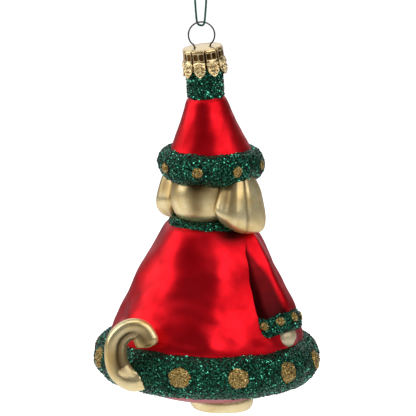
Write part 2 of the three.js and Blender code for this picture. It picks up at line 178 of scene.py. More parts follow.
def make(name, part, place, material, replaces=(), body="glass_figure", smooth=True):
    """A named object from points in millimetres and triangles, set in its frame, riding on its body
    and filling the slot of its finish."""
    points, faces = part
    mesh = bpy.data.meshes.new(name)
    mesh.from_pydata((put(points, place) * MM).tolist(), [], faces.tolist())
    mesh.materials.append(material)
    mesh.polygons.foreach_set("use_smooth", [smooth] * len(mesh.polygons))
    mesh.update()
    piece = bpy.data.objects.new(name, mesh)
    bpy.context.scene.collection.objects.link(piece)
    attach(piece, body)
    if replaces:
        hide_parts(*replaces)
    print(f"{name}: {len(faces)} triangles on {body}")
    return piece


def store(piece, name, values):
    """Keeps a number on each point of a piece, in the points' order; the last points, which close its
    ends or its inside, get zero."""
    kept = np.zeros(len(piece.data.vertices), np.float32)
    kept[:values.size] = values.ravel()
    piece.data.attributes.new(name, "FLOAT", "POINT").data.foreach_set("value", kept)


def smooth_line(points, count):
    """A Catmull-Rom line: each stretch is a cubic through two points, and its slope at a point is
    half the step between that point's neighbours."""
    p = np.asarray(points, float)
    p = np.vstack([2 * p[0] - p[1], p, 2 * p[-1] - p[-2]])
    at = np.linspace(0, len(p) - 3, count)
    i = np.minimum(at.astype(int), len(p) - 4)
    t = (at - i)[:, None]
    a, b, c, d = p[i], p[i + 1], p[i + 2], p[i + 3]
    return 0.5 * (2 * b + (c - a) * t + (2 * a - 5 * b + 4 * c - d) * t**2 + (3 * b - 3 * c + d - a) * t**3)


def ripple(points, length, seed, waves=20):
    """Smooth noise, mostly between -1 and 1: a sum of sines, each along a random direction of its
    own, with wavelengths from two thirds of length to one and a half times it."""
    rng = np.random.default_rng(seed)
    direction = rng.normal(size=(waves, 3))
    direction /= np.linalg.norm(direction, axis=1)[:, None]
    waves_per_mm = 2 * np.pi / (length * rng.uniform(0.67, 1.5, waves))
    phase = rng.uniform(0, 2 * np.pi, waves)
    flat = points.reshape(-1, 3) @ (direction * waves_per_mm[:, None]).T + phase
    return (np.sin(flat).sum(1) / math.sqrt(waves)).reshape(points.shape[:-1])


def bump(x, width):
    """A smooth ridge: e to the power of minus x over width, squared."""
    return np.exp(-((x / width) ** 2))


def fade(x, length):
    """0 as long as x is below 0, then straight up to 1 where x comes to length."""
    return np.clip(x / length, 0, 1)


def full_turn(count):
    """count angles spread evenly over a full turn."""
    return np.linspace(0, 2 * np.pi, count, endpoint=False)


def round_axis(radius, angle, height):
    """Points round +Z: x is r cos a, y is r sin a."""
    radius, angle, height = np.broadcast_arrays(radius, angle, height)
    return np.stack([radius * np.cos(angle), radius * np.sin(angle), height], -1)


def turned(profile, around):
    """Loops round +Z from a profile of radius and height."""
    radius, height = np.asarray(profile, float).T[..., None]
    return round_axis(radius, full_turn(around), height)


def pushed_out(rows, amount):
    """Loops round +Z with every point moved away from the axis by its own amount."""
    out = rows.copy()
    radius = np.linalg.norm(rows[..., :2], axis=-1)
    out[..., :2] *= (1 + amount / np.maximum(radius, 1e-6))[..., None]
    return out


def swept(line, radii, around, twist=0.0):
    """Loops round a line of points. The side direction starts square to the line and is carried
    along it with the least turning, and the other one is square to both. twist is how far the
    loops turn from one end to the other."""
    step = np.gradient(line, axis=0)
    step /= np.linalg.norm(step, axis=1)[:, None]
    side = np.zeros_like(line)
    start = np.cross(step[0], [0.3, 0.2, 1.0])  # a direction that no line here starts in
    side[0] = start / np.linalg.norm(start)
    for i in range(1, len(line)):
        carried = side[i - 1] - step[i] * (side[i - 1] @ step[i])
        side[i] = carried / np.linalg.norm(carried)
    other = np.cross(step, side)
    angle = full_turn(around) + np.linspace(0, twist, len(line))[:, None]
    radii = np.broadcast_to(np.asarray(radii, float), (len(line), around))
    across, up = radii * np.cos(angle), radii * np.sin(angle)
    return line[:, None] + across[..., None] * side[:, None] + up[..., None] * other[:, None]


def tube(line, radii, around, twist=0.0):
    """A line's loops as a closed surface."""
    return skin(swept(line, radii, around, twist), line[0], line[-1])


def capped(rows):
    """Loops closed at the middle of the first and of the last one."""
    return skin(rows, rows[0].mean(0), rows[-1].mean(0))


def numbered(name, count):
    """The names of a row of alike parts, counted from 1."""
    return [f"{name}_{i + 1}" for i in range(count)]


print("helpers ready")

# %% [markdown]
# ## Two effects that several finishes share
# Lacquer on blown glass is never even: it is sprayed in passes, so its depth of colour and its
# gloss drift over the surface, and the glass under it is faintly wavy. Glitter is a bed of tiny
# mirrors, each one tipped its own way. Each effect is made once as a node group that puts out masks
# and values, and every finish that uses it gives it its own numbers.

# %% Node helpers and the two groups
def feed(tree, node, values):
    """Gives a node its inputs: a value that is a socket is linked, any other is set."""
    for key, value in values.items():
        if isinstance(value, bpy.types.NodeSocket):
            tree.links.new(value, node.inputs[key])
        else:
            node.inputs[key].default_value = value


def add_node(tree, kind, values=None, **settings):
    """A node with its settings and its inputs."""
    node = tree.nodes.new(kind)
    for key, value in settings.items():
        setattr(node, key, value)
    feed(tree, node, values or {})
    return node


def mixed(tree, share, low, high):
    """A colour that goes from low to high as share goes from 0 to 1."""
    return add_node(tree, "ShaderNodeMix", {0: share, 6: low, 7: high}, data_type="RGBA").outputs[2]


def noise(tree, place, scale, detail, **settings):
    """How strong a cloudy noise is at a place."""
    values = {"Vector": place, "Scale": scale, "Detail": detail, **settings}
    return add_node(tree, "ShaderNodeTexNoise", values).outputs["Fac"]


def stored(tree, name):
    """The number of that name on a piece's points."""
    return add_node(tree, "ShaderNodeAttribute", attribute_name=name).outputs["Fac"]


def between(tree, value, low, high):
    """A value from 0 to 1 spread over the range from low to high."""
    return add_node(tree, "ShaderNodeMapRange", {"Value": value, "To Min": low, "To Max": high}).outputs[0]


def new_group(name, inputs, outputs):
    """An empty node group with named sockets; inputs are (name, kind, value), outputs (name, kind)."""
    group = bpy.data.node_groups.new(name, "ShaderNodeTree")
    for label, kind, value in inputs:
        socket = group.interface.new_socket(label, in_out="INPUT", socket_type=kind)
        if value is not None:
            socket.default_value = value
    for label, kind in outputs:
        group.interface.new_socket(label, in_out="OUTPUT", socket_type=kind)
    return group, group.nodes.new("NodeGroupInput").outputs, group.nodes.new("NodeGroupOutput")


FLOAT, VECTOR = "NodeSocketFloat", "NodeSocketVector"
spray, given, out = new_group(
    "sprayed lacquer",
    [("Place", VECTOR, None), ("Cloud scale", FLOAT, 70.0), ("Gloss", FLOAT, 0.3),
     ("Gloss drift", FLOAT, 0.1)],
    [("Depth", FLOAT), ("Roughness", FLOAT), ("Height", FLOAT)],
)
SPECKS_PER_METRE = 1400
WAVES_PER_METRE = 260
clouds = noise(spray, given["Place"], given["Cloud scale"], 3.0, Roughness=0.55)
specks = noise(spray, given["Place"], SPECKS_PER_METRE, 2.0)
waves = noise(spray, given["Place"], WAVES_PER_METRE, 1.0)
depth = add_node(spray, "ShaderNodeMapRange", {"Value": clouds, "From Min": 0.34, "From Max": 0.66},
                 interpolation_type="SMOOTHSTEP")
drift = add_node(spray, "ShaderNodeMath", {0: depth.outputs[0], 1: given["Gloss drift"], 2: given["Gloss"]},
                 operation="MULTIPLY_ADD")
height = add_node(spray, "ShaderNodeMath", {0: specks, 1: 0.12, 2: waves}, operation="MULTIPLY_ADD")
feed(spray, out, {"Depth": depth.outputs[0], "Roughness": drift.outputs[0], "Height": height.outputs[0]})

grains, given, out = new_group(
    "bed of glitter",
    [("Place", VECTOR, None), ("Grains per metre", FLOAT, 2200.0), ("Tip", FLOAT, 1.0)],
    [("Shade", FLOAT), ("Normal", VECTOR), ("Roughness", FLOAT)],
)


def vector_step(values, operation):
    """A step of vector arithmetic in the bed of glitter."""
    return add_node(grains, "ShaderNodeVectorMath", values, operation=operation).outputs[0]


cells = add_node(grains, "ShaderNodeTexVoronoi",
                 {"Vector": given["Place"], "Scale": given["Grains per metre"]})
centred = vector_step({0: cells.outputs["Color"], 1: (0.5, 0.5, 0.5)}, "SUBTRACT")
grain_tip = vector_step({0: centred, "Scale": given["Tip"]}, "SCALE")
face = add_node(grains, "ShaderNodeNewGeometry")
leaning = vector_step({0: face.outputs["Normal"], 1: grain_tip}, "ADD")
parts = add_node(grains, "ShaderNodeSeparateColor", {0: cells.outputs["Color"]})
feed(grains, out, {
    "Shade": parts.outputs["Red"], "Normal": vector_step({0: leaning}, "NORMALIZE"),
    "Roughness": between(grains, parts.outputs["Green"], 0.22, 0.6),
})
print("groups:", spray.name, "and", grains.name)

# %% [markdown]
# ## The finishes
# The red is a clear tinted lacquer over silver: light passes the tint twice, so it behaves like a
# coloured satin metal that darkens where it is seen at a slant. The dog's coat is a pearl gold.
# Painted shade: the points of a piece carry a number that marks creases, hollows, shadowed flanks
# and places under other parts, and there the colour goes over to a dark shade colour. Each finish
# keeps its own Principled shader, and only colours, roughness and bump come from the groups.

# %% Lacquers
def new_material(name, display):
    """A material, its node tree, its Principled shader and the socket of Object coordinates."""
    material = bpy.data.materials.new(name)
    material.use_nodes = True
    material.diffuse_color = display
    tree = material.node_tree
    shader = tree.nodes["Principled BSDF"]
    return material, tree, shader, add_node(tree, "ShaderNodeTexCoord").outputs["Object"]


def lacquer(name, deep, thin, slanted, painted_shade_colour, metal, gloss, drift, cloud_scale, waviness, coat):
    """A sprayed lacquer over silvered glass: deep and thin are its colours in thick and thin
    patches, slanted is the colour where it is seen at a slant, and the last colour is painted shade,
    which the colour goes over to as far as a number stored on the piece's points says."""
    material, tree, shader, place = new_material(name, thin)
    spraying = add_node(tree, "ShaderNodeGroup", node_tree=spray)
    feed(tree, spraying, {"Place": place, "Cloud scale": cloud_scale, "Gloss": gloss, "Gloss drift": drift})
    sprayed = mixed(tree, spraying.outputs["Depth"], thin, deep)
    slant = add_node(tree, "ShaderNodeLayerWeight", {"Blend": 0.35})
    edge = add_node(tree, "ShaderNodeMapRange",
                    {"Value": slant.outputs["Facing"], "From Min": 0.35, "From Max": 1.0, "To Max": 0.85})
    seen = mixed(tree, edge.outputs[0], sprayed, slanted)
    relief = add_node(tree, "ShaderNodeBump",
                      {"Strength": waviness, "Distance": 0.0002, "Height": spraying.outputs["Height"]})
    feed(tree, shader, {
        # painted shade: towards the dark shade colour as far as the points' stored number says
        "Base Color": mixed(tree, stored(tree, "painted_shade"), seen, painted_shade_colour),
        "Roughness": spraying.outputs["Roughness"],
        "Normal": relief.outputs[0], "Metallic": metal, "Coat Weight": coat, "Coat Roughness": 0.28,
    })
    return material


# the fourth colour of each lacquer is its painted shade colour
red_lacquer = lacquer(
    "red_lacquer", (0.6, 0.002, 0.008, 1), (0.92, 0.009, 0.02, 1), (0.34, 0.012, 0.034, 1),
    (0.012, 0.0003, 0.001, 1), metal=0.95, gloss=0.36, drift=0.1, cloud_scale=75, waviness=0.3, coat=0.03)
pearl_gold = lacquer(
    "pearl_gold_lacquer", (0.74, 0.52, 0.2, 1), (1.0, 0.84, 0.48, 1), (0.52, 0.33, 0.09, 1),
    (0.12, 0.065, 0.018, 1), metal=0.72, gloss=0.25, drift=0.08, cloud_scale=90, waviness=0.2, coat=0.1)
cream = lacquer(
    "cream_lacquer", (0.6, 0.48, 0.28, 1), (0.72, 0.62, 0.42, 1), (0.38, 0.27, 0.12, 1),
    (0.3, 0.2, 0.1, 1), metal=0.35, gloss=0.3, drift=0.1, cloud_scale=160, waviness=0.2, coat=0.1)
print("lacquers:", red_lacquer.name, pearl_gold.name, cream.name)

# %% Glitter, both as a bed and as single flakes
def glitter(name, dark, body, bright, metal, grains_per_metre, tip):
    """A bed of glitter, most grains dark, some of body colour and a few bright."""
    material, tree, shader, place = new_material(name, body)
    bed = add_node(tree, "ShaderNodeGroup", node_tree=grains)
    feed(tree, bed, {"Place": place, "Grains per metre": grains_per_metre, "Tip": tip})
    ramp = add_node(tree, "ShaderNodeValToRGB", {"Fac": bed.outputs["Shade"]})
    stops = ramp.color_ramp.elements
    stops[0].color, stops[1].color = dark, bright
    middle = stops.new(0.6)
    middle.color = body
    feed(tree, shader, {
        "Base Color": ramp.outputs["Color"], "Roughness": bed.outputs["Roughness"],
        "Normal": bed.outputs["Normal"], "Metallic": metal,
    })
    return material


green_glitter = glitter("green_glitter", (0.0004, 0.008, 0.004, 1), (0.001, 0.035, 0.018, 1),
                        (0.02, 0.3, 0.17, 1), metal=0.7, grains_per_metre=2300, tip=1.3)
gold_glitter = glitter("gold_glitter", (0.12, 0.07, 0.015, 1), (0.46, 0.3, 0.08, 1), (0.9, 0.72, 0.34, 1),
                       metal=0.8, grains_per_metre=3000, tip=1.2)


def flake_finish(name, dark, bright, roughness):
    """Single flakes: each one's own shade is stored on its points, and picks between two colours."""
    material, tree, shader, _ = new_material(name, bright)
    colour = mixed(tree, stored(tree, "shade"), dark, bright)
    feed(tree, shader, {"Base Color": colour, "Metallic": 0.9, "Roughness": roughness})
    return material


green_flake = flake_finish("green_flakes", (0.0003, 0.022, 0.01, 1), (0.18, 1, 0.64, 1), 0.1)
gold_flake = flake_finish("gold_flakes", (0.34, 0.2, 0.045, 1), (1, 0.82, 0.4, 1), 0.13)
print("glitters:", green_glitter.name, gold_glitter.name, green_flake.name, gold_flake.name)

# %% Metals, thread and enamel
RELIEF_DEPTH = 0.0001


def simple_finish(name, low, high, scale, stretch, metal, rough, strength):
    """A finish whose colour, roughness and relief drift with one noise, stretched along Z. rough is
    its least and its greatest roughness, and strength that of the relief."""
    material, tree, shader, place = new_material(name, high)
    drawn = add_node(tree, "ShaderNodeMapping", {"Vector": place, "Scale": (1, 1, stretch)})
    amount = noise(tree, drawn.outputs[0], scale, 4.0)
    relief = add_node(tree, "ShaderNodeBump",
                      {"Strength": strength, "Distance": RELIEF_DEPTH, "Height": amount})
    feed(tree, shader, {
        "Base Color": mixed(tree, amount, low, high), "Roughness": between(tree, amount, *rough),
        "Normal": relief.outputs[0], "Metallic": metal,
    })
    return material


brass = simple_finish("stamped_brass", (0.9, 0.66, 0.3, 1), (1.0, 0.83, 0.5, 1), 500, 0.5, 1.0,
                      (0.16, 0.26), 0.05)
tree = brass.node_tree
shader = tree.nodes["Principled BSDF"]
# painted shade: the brass goes dark brown as far as the number called hollow on its points says
unshaded_brass = shader.inputs["Base Color"].links[0].from_socket
feed(tree, shader, {"Base Color": mixed(tree, stored(tree, "hollow"), unshaded_brass, (0.16, 0.075, 0.022, 1))})
wire = simple_finish("spring_wire", (0.05, 0.05, 0.05, 1), (0.16, 0.155, 0.15, 1), 1500, 0.2, 1.0,
                     (0.25, 0.45), 0.2)
thread = simple_finish("green_cord", (0.003, 0.045, 0.03, 1), (0.012, 0.16, 0.11, 1), 3500, 0.3, 0.0,
                       (0.45, 0.7), 0.6)
enamel = simple_finish("black_paint", (0.008, 0.007, 0.006, 1), (0.02, 0.018, 0.016, 1), 400, 1.0, 0.0,
                       (0.12, 0.2), 0.1)
print("others:", brass.name, wire.name, thread.name, enamel.name)

# %% [markdown]
# ## The cord and its knot
# The cord is a thin twisted thread, tied into a loop. The hook that takes the loop is out of sight
# above, so the loop ends there in its knot. The thread is a tube whose section is three lobes, and
# the lobes turn as the tube goes along, which gives the twist. The knot follows a trefoil, the path
# that a thread takes in a single overhand knot.

# %% Cord and knot
CORD_RADIUS = 0.38
CORD_LOW = -17.4  # where the cord hangs lowest, under the hang point
CORD_PITCH = 2.6  # the length of one full twist
CORD_TURN = math.radians(50)
HALF_CORD = np.array([
    (0, 0), (0.85, 0.12), (1.5, 0.7), (1.8, 1.8), (2, 3.4), (2.25, 5.8), (2.5, 9), (2.5, 12), (2.2, 14.6),
    (1.45, 16.7), (0.52, 18),
])
cord_side = LEAN_AXIS * math.cos(CORD_TURN) + np.cross([0, 0, 1], LEAN_AXIS) * math.sin(CORD_TURN)
across = np.concatenate([-HALF_CORD[:0:-1, 0], HALF_CORD[:, 0]])
heights = np.concatenate([HALF_CORD[:0:-1, 1], HALF_CORD[:, 1]]) + CORD_LOW
cord_line = smooth_line(across[:, None] * cord_side + heights[:, None] * np.array([0, 0, 1]), 260)
cord_length = np.linalg.norm(np.diff(cord_line, axis=0), axis=1).sum()
PLIES = 3
ROUND_CORD = 18
ply_angle = full_turn(ROUND_CORD)
ply_section = CORD_RADIUS * (0.86 + 0.14 * np.abs(np.cos(PLIES * ply_angle / 2)))
twisted = tube(cord_line, ply_section, ROUND_CORD, 2 * np.pi * cord_length / CORD_PITCH)
cord = make("cord", twisted, WORLD, thread, ["cord_loop"], "hanger")

KNOT_GAP, KNOT_HALF = 0.3, 1.6
KNOT_HEIGHT = CORD_LOW + HALF_CORD[-1, 1] + KNOT_GAP + KNOT_HALF
KNOT_SIZE = [1.12, 1.5, 1.5]
t = full_turn(150)
trefoil = np.stack([
    (np.sin(t) + 2 * np.sin(2 * t)) * 0.3,
    (np.cos(t) - 2 * np.cos(2 * t)) * 0.3,
    -np.sin(3 * t) * 0.42,
], -1)
trefoil = trefoil[:, [0, 2, 1]] * KNOT_SIZE + [0, 0, KNOT_HEIGHT]
knot_rows = swept(np.vstack([trefoil, trefoil[:1]]), ply_section * 1.12, ROUND_CORD)[:-1]
ends = []
for side in (-1, 1):
    cut_end = smooth_line([
        (0.3 * side, 0, KNOT_HEIGHT + 0.4), (0.5 * side, 0.1, KNOT_HEIGHT + 1.6),
        (0.9 * side, 0.3 * side, KNOT_HEIGHT + 3), (1.5 * side, 0.5 * side, KNOT_HEIGHT + 4.4),
    ], 40)
    ends.append(tube(cut_end, ply_section, ROUND_CORD, 10))
    arrives = cord_line[0 if side < 0 else -1]
    run_in = smooth_line([
        arrives - [0, 0, 0.5], arrives, (0.2 * side, 0, KNOT_HEIGHT - 0.6), (0, 0, KNOT_HEIGHT),
    ], 24)
    ends.append(tube(run_in, ply_section * 0.97, ROUND_CORD))
knot = make("knot", joined([skin(knot_rows, ring=True), *ends]), WORLD, thread, ["cord_knot"], "hanger")
print("cord length in millimetres:", round(cord_length, 1))

# %% [markdown]
# ## The wire loop
# One length of spring wire makes the round eye above the cap and the two legs inside the neck. It
# is a tube carried along that route: down one leg, round the circle, and down the other.

# %% Wire loop
WIRE_RADIUS = 0.28
LOOP_RADIUS = 4.5
LOOP_RISE = 4.2  # the middle of the eye, above the cap
HOLE_OUT = 2.65  # from the middle of the cap to each of its holes
LOOP_OPEN = 2.9  # half of the gap that the eye leaves at its foot
LEG_REACH = 13.5
LEG_SPREAD = 3.6
loop_across = np.cross([0, 0, 1], LEAN_AXIS)
opening = math.asin(LOOP_OPEN / LOOP_RADIUS)
turn = np.linspace(-np.pi / 2 - opening, -5 * np.pi / 2 + opening, 19)
circle = np.stack([LOOP_RADIUS * np.cos(turn), CAP_TOP + LOOP_RISE + LOOP_RADIUS * np.sin(turn)], -1)
leg = np.array([(LEG_SPREAD, CAP_TOP - LEG_REACH), (LEG_SPREAD, CAP_TOP - 0.6 * LEG_REACH),
                (HOLE_OUT, CAP_TOP - 0.1 * LEG_REACH)])
route = np.vstack([leg * [-1, 1], circle, leg[::-1]])
wire_line = smooth_line(route[:, :1] * loop_across + route[:, 1:] * np.array([0, 0, 1]), 300)
make("wire_eye", tube(wire_line, WIRE_RADIUS, 14), HAT, wire, ["wire_loop"], "wire_loop")

# %% [markdown]
# ## The stamped cap
# The cap is thin sheet, drawn into a cup. Its skirt has nine pointed petals, and each petal is
# stamped: two upright panels between ribs, a raised chevron under them, and a leaf with veins in
# the point. The skirt is a grid of height by angle, and the stamping is a height field added to its
# radius. The top plate is a flat curve with two holes in it, given a thickness.

# %% Cap
CAP_RADIUS = 6.95
CAP_HEIGHT = 9.6
CAP_FLARE = 0.45
CAP_THICK = 0.3
STAMP_ROOM = 0.3  # the inner face keeps clear of the deepest stamping
HOLE_RADIUS = 0.75
PETALS = 9
PETAL_CUT = 3.3
PETAL_COLUMNS = 44
across_petal = np.linspace(-1, 1, PETAL_COLUMNS, endpoint=False) + 1 / PETAL_COLUMNS
u = np.tile(across_petal, PETALS)
side = np.abs(u)
edge_height = -CAP_HEIGHT + PETAL_CUT * (0.5 * side + 0.5 * side ** 3)
down = np.linspace(0, 1, 96)[:, None]
z = edge_height * down
mm_down = -z
PANEL_TOP, PANEL_LOW = 1.2, 3.7
LEAF_TOP, LEAF_MIDDLE, LEAF_HALF, LEAF_WIDE = 5.1, 6.9, 2.5, 0.74
panel = fade(mm_down - PANEL_TOP, 0.3) * fade(PANEL_LOW - mm_down, 0.3)
ribs = np.maximum(bump(u, 0.15), fade(side - 0.68, 0.1))
stamped = -0.5 * panel * (1 - ribs)
chevron = bump(mm_down - (4.3 + 0.9 * side), 0.32) * (side < 0.9)
stamped = stamped + 0.4 * chevron
leaf_width = LEAF_WIDE * np.clip(1 - ((mm_down - LEAF_MIDDLE) / LEAF_HALF) ** 2, 0, 1)
stamped = stamped + 0.4 * bump(side - leaf_width, 0.14) * (mm_down > LEAF_TOP)
veins = bump(u, 0.09) + bump(np.mod(mm_down - 1.5 * side, 1.4) - 0.7, 0.26) * (side < leaf_width)
stamped = stamped + 0.42 * (np.clip(veins, 0, 1) - 0.45) * (mm_down > 5.4) * (side < leaf_width + 0.05)
seam = bump(side - 1, 0.12)
stamped = stamped - 0.7 * seam * fade(mm_down, 1.2)
angle = full_turn(PETALS * PETAL_COLUMNS) + np.pi / PETALS
flared = CAP_FLARE * (mm_down / CAP_HEIGHT) ** 1.5
radius = CAP_RADIUS + flared + stamped - 0.45 * bump(mm_down, 0.35)
inner_radius = CAP_RADIUS - CAP_THICK + flared - STAMP_ROOM
outer = round_axis(radius, angle, z)
inner = round_axis(np.minimum(inner_radius, radius - 0.12), angle, z)[::-1]
skirt = skin(np.concatenate([outer, inner]), ring=True)


def flat_plate(circles, thick, rim):
    """Points and triangles of a plate bounded by circles of (x, y, radius): a filled flat curve
    whose inner circles are holes, given its thickness and a rounded rim."""
    curve = bpy.data.curves.new("plate", "CURVE")
    curve.dimensions, curve.fill_mode = "2D", "BOTH"
    curve.extrude, curve.bevel_depth, curve.bevel_resolution = thick / 2 - rim, rim, 2
    for x, y, r in circles:
        a = full_turn(96 if r > 3 else 24)
        spline = curve.splines.new("POLY")
        spline.points.add(len(a) - 1)
        flat = np.stack([x + r * np.cos(a), y + r * np.sin(a), 0 * a, 0 * a + 1], -1)
        spline.points.foreach_set("co", flat.ravel())
        spline.use_cyclic_u = True
    holder = bpy.data.objects.new("plate", curve)
    mesh = bpy.data.meshes.new_from_object(holder)
    bpy.data.objects.remove(holder)
    mesh.calc_loop_triangles()
    points, faces = np.zeros(3 * len(mesh.vertices)), np.zeros(3 * len(mesh.loop_triangles), int)
    mesh.vertices.foreach_get("co", points)
    mesh.loop_triangles.foreach_get("vertices", faces)
    bpy.data.meshes.remove(mesh)
    return points.reshape(-1, 3), faces.reshape(-1, 3)


def merged(part):
    """The same triangles with points at the same place made one."""
    points, faces = part
    rounded, index = np.unique(np.round(points, 4), axis=0, return_inverse=True)
    faces = index.ravel()[faces]
    keep = (faces[:, 0] != faces[:, 1]) & (faces[:, 1] != faces[:, 2]) & (faces[:, 2] != faces[:, 0])
    return rounded, faces[keep]


hole_x, hole_y = (loop_across * HOLE_OUT)[:2]
holes = [(hole_x, hole_y, HOLE_RADIUS), (-hole_x, -hole_y, HOLE_RADIUS)]
points, faces = merged(flat_plate([(0, 0, CAP_RADIUS - 0.2), *holes], CAP_THICK, 0.08))
plate = (points - [0, 0, CAP_THICK / 2], facing_out(points, faces))
cap = make("crown_cap", joined([skirt, plate]), CAP, brass, ["cap"], "cap")
# painted shade: dark in the stamped recesses and full over the inside of the cup; the top plate stays clear
store(cap, "hollow", np.concatenate([np.clip(0.1 - stamped / 0.42, 0, 1).ravel(), np.ones(inner.size // 3)]))

# %% [markdown]
# ## The hat and the robe
# Both were blown into a mould and are almost shapes of revolution, but not quite: the glass has
# slow dents and soft folds, and those break up its reflections. A profile is carried round the axis
# and then pushed in and out by noise with a wavelength of a centimetre or two. The inside wall
# follows the outside one, so each piece is a closed shell.

# %% Hat
WALL = 0.8


def shell(rows, wall=WALL):
    """A closed wall from the loops of its outside: the inside is the same loops nearer the axis."""
    return skin(np.concatenate([rows, pushed_out(rows, -wall)[::-1]]), ring=True)


HAT_OUTLINE = [
    (14.6, 2.4), (13.6, 5.6), (11.9, 9.3), (10.2, 13.5), (8.5, 17.8), (7, 22), (5.95, 23.6), (5.72, 26),
    (5.7, 32), (5.7, 39.8),
]
hat_rows = turned(smooth_line(HAT_OUTLINE, 110), 192)
below_neck = fade(24 - hat_rows[..., 2], 6)
hat_rows = pushed_out(hat_rows, below_neck * (0.16 * ripple(hat_rows, 13, 3) + 0.05 * ripple(hat_rows, 5, 4)))
make("hat_glass", shell(hat_rows), HAT, red_lacquer, ["hat"])

# %% Robe
ROBE_OUTLINE = [
    (11.2, 68.6), (12.4, 67.8), (15.1, 66.4), (17.5, 63.2), (20.7, 56.8), (24.3, 48.5), (28.1, 40.4),
    (31.7, 32.6), (33.3, 27.8), (32.8, 25),
]
robe_rows = turned(smooth_line(ROBE_OUTLINE, 150), 288)
robe_angle = np.arctan2(robe_rows[..., 1], robe_rows[..., 0])
z = robe_rows[..., 2]
low = fade(61 - z, 30)
folds = 0.12 * low * np.cos(7 * robe_angle + 1.3)
dents = 0.34 * ripple(robe_rows, 16, 8) + 0.1 * (0.35 + low) * ripple(robe_rows, 7, 9)
# the angle from the nearer arm: 0 under an arm, positive behind it
from_arm = np.arccos(np.clip(np.abs(np.cos(robe_angle)), 0, 1)) * np.sign(robe_angle)
valley = 1.2 * bump(from_arm + 0.5, 0.1)
valley = valley * fade(66 - z, 8) * fade(z - 26, 8)
robe_rows = pushed_out(robe_rows, (folds + dents) * np.clip((z - 25) / 5, 0.2, 1) - valley)
robe = make("robe_glass", shell(robe_rows), BODY, red_lacquer, ["robe"])
# painted shade: a dark band on the robe under each ear, and a little in the valley beside each arm
shadow_under_ear = bump(from_arm - 0.3, 0.42) * fade(z - 61.5, 3.5)
store(robe, "painted_shade", np.clip(0.3 * valley + 0.95 * shadow_under_ear, 0, 1))

# %% [markdown]
# ## Bands of glitter
# Each band is a bulge of glass that was brushed with glue and rolled in coarse glitter. The bulge is
# an oval carried round the axis. Its grains are seen one by one at the edges, so flakes are real
# here: flat six-sided plates scattered over the skin, each tipped by its own small angle.

# %% Bands and flakes
def oval_band(size, around, beta, offset=0.0):
    """Points of a bulge: the angle around, and the angle beta on the oval, 0 outermost and 90
    degrees on top. radius and height are the oval's middle, wide and tall its half sizes."""
    radius = size["radius"] + (size["wide"] + offset) * np.cos(beta)
    return round_axis(radius, around, size["height"] + (size["tall"] + offset) * np.sin(beta))


def banded(size, around_count, beta_count, seed, lump=0.25, grit=0.1):
    """The skin of a bulge: half an oval outside, closed inside by an upright wall, roughened by
    slow lumps and fine grit."""
    around = full_turn(around_count)
    beta = np.linspace(-np.pi / 2, np.pi / 2, beta_count)[:, None]
    rows = oval_band(size, around, beta)
    grown = oval_band(size, around, beta, 1.0) - rows
    amount = lump * ripple(rows, 9, seed) + grit * ripple(rows, 1.6, seed + 1)
    rows = rows + grown * amount[..., None]
    wall = size["height"] + size["tall"] * np.linspace(0.98, -0.98, 6)[:, None]
    inner = round_axis(size["radius"] - 1, around, wall)
    return skin(np.concatenate([rows, inner]), ring=True)


def scattered(part, count, seed, keep):
    """count places over a skin, evenly by area: a triangle is drawn with the odds of its area, and a
    place in it from two random shares. keep says which of them stay, and None keeps all."""
    points, faces = part
    a, b, c = (points[faces[:, i]] for i in range(3))
    normal = np.cross(b - a, c - a)
    area = np.linalg.norm(normal, axis=1)
    rng = np.random.default_rng(seed)
    pick = rng.choice(len(faces), count, p=area / area.sum())
    s, t = rng.random((2, count, 1))
    s, t = np.where(s + t > 1, 1 - s, s), np.where(s + t > 1, 1 - t, t)
    places = a[pick] + s * (b - a)[pick] + t * (c - a)[pick]
    normals = normal[pick] / area[pick][:, None]
    kept = keep(places, normals) if keep else slice(None)
    return places[kept], normals[kept]


# sizes of flakes in millimetres, and two shares of that size: half the thickness, and how far the
# middle of a flake stands off its skin
BAND_FLAKE, EDGE_FLAKE, DOT_FLAKE = 0.31, 0.34, 0.24
FLAKE_THICK, FLAKE_PROUD = 0.16, 0.35


def flakes(places, normals, size, tip, seed):
    """One flat plate at each place: six corners round a middle, with a point a little above and one
    a little below, turned at random and tipped by up to tip radians."""
    rng = np.random.default_rng(seed)
    count = len(places)
    up = normals + rng.uniform(-1, 1, (count, 3)) * tip
    up /= np.linalg.norm(up, axis=1)[:, None]
    first = np.cross(up, rng.normal(size=(count, 3)))
    first /= np.linalg.norm(first, axis=1)[:, None]
    second = np.cross(up, first)
    half = size * rng.uniform(0.6, 1.15, (count, 1, 1))
    corner = full_turn(6)[:, None]
    rim = first[:, None] * np.cos(corner) + second[:, None] * np.sin(corner)
    poles = np.stack([up, -up], 1) * FLAKE_THICK
    middle = places + normals * size * FLAKE_PROUD
    points = (middle[:, None] + np.concatenate([rim, poles], 1) * half).reshape(-1, 3)
    around = np.arange(6)
    following = (around + 1) % 6
    above = np.stack([around, following, np.full(6, 6)], -1)
    below = np.stack([following, around, np.full(6, 7)], -1)
    one = np.vstack([above, below])
    faces = (one[None] + 8 * np.arange(count)[:, None, None]).reshape(-1, 3)
    return (points, faces), np.repeat(rng.random(count) ** 6, 8)


def make_flakes(name, skin_part, count, size, place, material, seed, keep, tip=0.45):
    """A piece of scattered flakes, each with its own shade stored on its points."""
    places, normals = scattered(skin_part, count, seed, keep)
    part, shade = flakes(places, normals, size, tip, seed + 1)
    store(make(name, part, place, material, smooth=False), "shade", shade)


def outside(size):
    """Keeps places on the outer side of a bulge, out of the hidden inner wall."""
    return lambda places, normals: np.linalg.norm(places[:, :2], axis=1) > size["radius"] + 0.4


def facing_away(least):
    """Keeps places whose skin faces away from the axis by more than least."""
    return lambda places, normals: (normals * places * [1, 1, 0]).sum(1) > least


